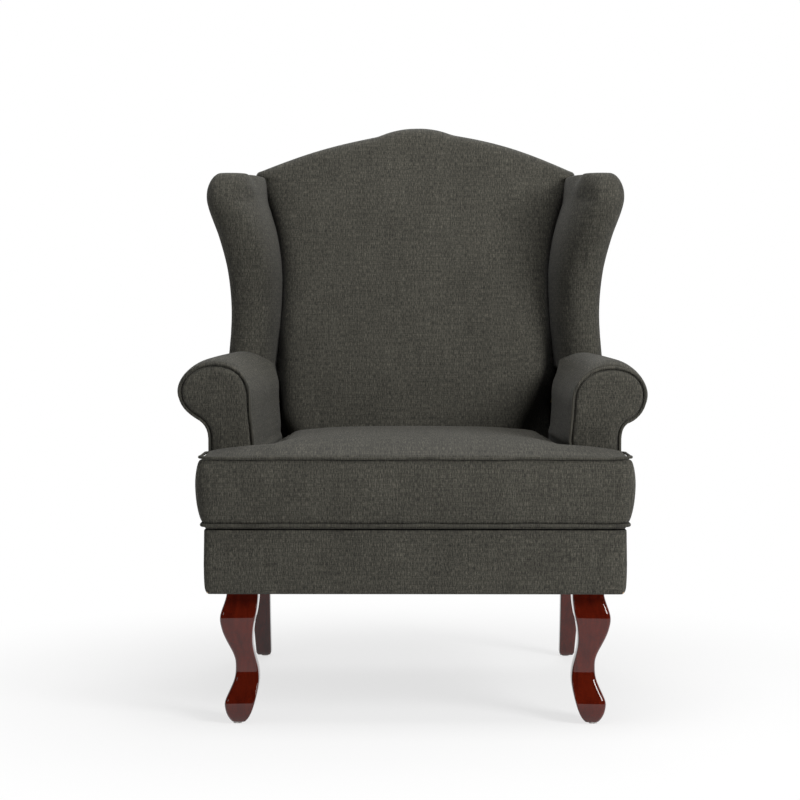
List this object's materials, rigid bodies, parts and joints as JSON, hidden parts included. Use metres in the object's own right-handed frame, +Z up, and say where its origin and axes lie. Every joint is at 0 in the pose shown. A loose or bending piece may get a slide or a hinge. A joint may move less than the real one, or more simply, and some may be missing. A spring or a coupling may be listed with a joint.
{
  "type": "wingback armchair",
  "caption": "Upholstered wingback armchair with rolled arms, camel-shaped back, loose T seat cushion and cabriole front legs.",
  "frame": {"origin": "on the floor under the centre of the chair's bounding box", "axes": "+Z up from the floor to the crest, -Y towards the front of the chair, +X to the right seen from the front"},
  "size_m": [0.815, 0.81, 1.039],
  "materials": {
    "frame_wood": "sawn hardwood, unfinished",
    "leg_finish": "dark cherry stain under gloss lacquer",
    "glide_nylon": "natural nylon",
    "steel": "zinc-plated steel",
    "webbing": "woven jute webbing",
    "dust_cloth": "black non-woven cambric",
    "upholstery": "warm charcoal slub weave",
    "cushion_cover": "warm charcoal slub weave",
    "welt_cord": "welt cord in the cover fabric"
  },
  "bodies": {
    "frame": {"front_seat_rail": "frame_wood", "rear_seat_rail": "frame_wood", "lower_back_rail": "frame_wood", "crest_rail": "frame_wood", "side_seat_rail_left": "frame_wood", "side_seat_rail_right": "frame_wood", "front_corner_block_left": "frame_wood", "front_corner_block_right": "frame_wood", "rear_corner_block_left": "frame_wood", "rear_corner_block_right": "frame_wood", "back_post_left": "frame_wood", "back_post_right": "frame_wood", "arm_post_left": "frame_wood", "arm_post_right": "frame_wood", "arm_top_rail_left": "frame_wood", "arm_top_rail_right": "frame_wood", "arm_tack_rail_left": "frame_wood", "arm_tack_rail_right": "frame_wood", "arm_scroll_board_left": "frame_wood", "arm_scroll_board_right": "frame_wood", "wing_board_left": "frame_wood", "wing_board_right": "frame_wood", "front_leg_left": "leg_finish", "front_leg_right": "leg_finish", "rear_leg_left": "leg_finish", "rear_leg_right": "leg_finish", "glides": "glide_nylon", "hanger_bolts": "steel", "leg_plates": "steel", "seat_springs": "steel", "spring_clips": "steel", "back_webbing": "webbing", "dust_cover": "dust_cloth", "outside_back_panel": "upholstery", "inside_back_pad": "upholstery", "rail_cover": "upholstery", "seat_deck": "upholstery", "arm_pad_left": "upholstery", "arm_pad_right": "upholstery", "arm_facing_left": "upholstery", "arm_facing_right": "upholstery", "outside_arm_panel_left": "upholstery", "outside_arm_panel_right": "upholstery", "wing_pad_left": "upholstery", "wing_pad_right": "upholstery", "outside_wing_panel_left": "upholstery", "outside_wing_panel_right": "upholstery", "arm_facing_welt_left": "welt_cord", "arm_facing_welt_right": "welt_cord"},
    "loose_cushion": {"seat_cushion": "cushion_cover", "cushion_bottom_welt": "welt_cord", "cushion_top_welt": "welt_cord"}
  },
  "joints": [
    {"name": "cushion_lift", "type": "slide", "parent": "frame", "child": "loose_cushion", "axis": [0, 0, 1], "range_m": [0, 0.15]}
  ]
}
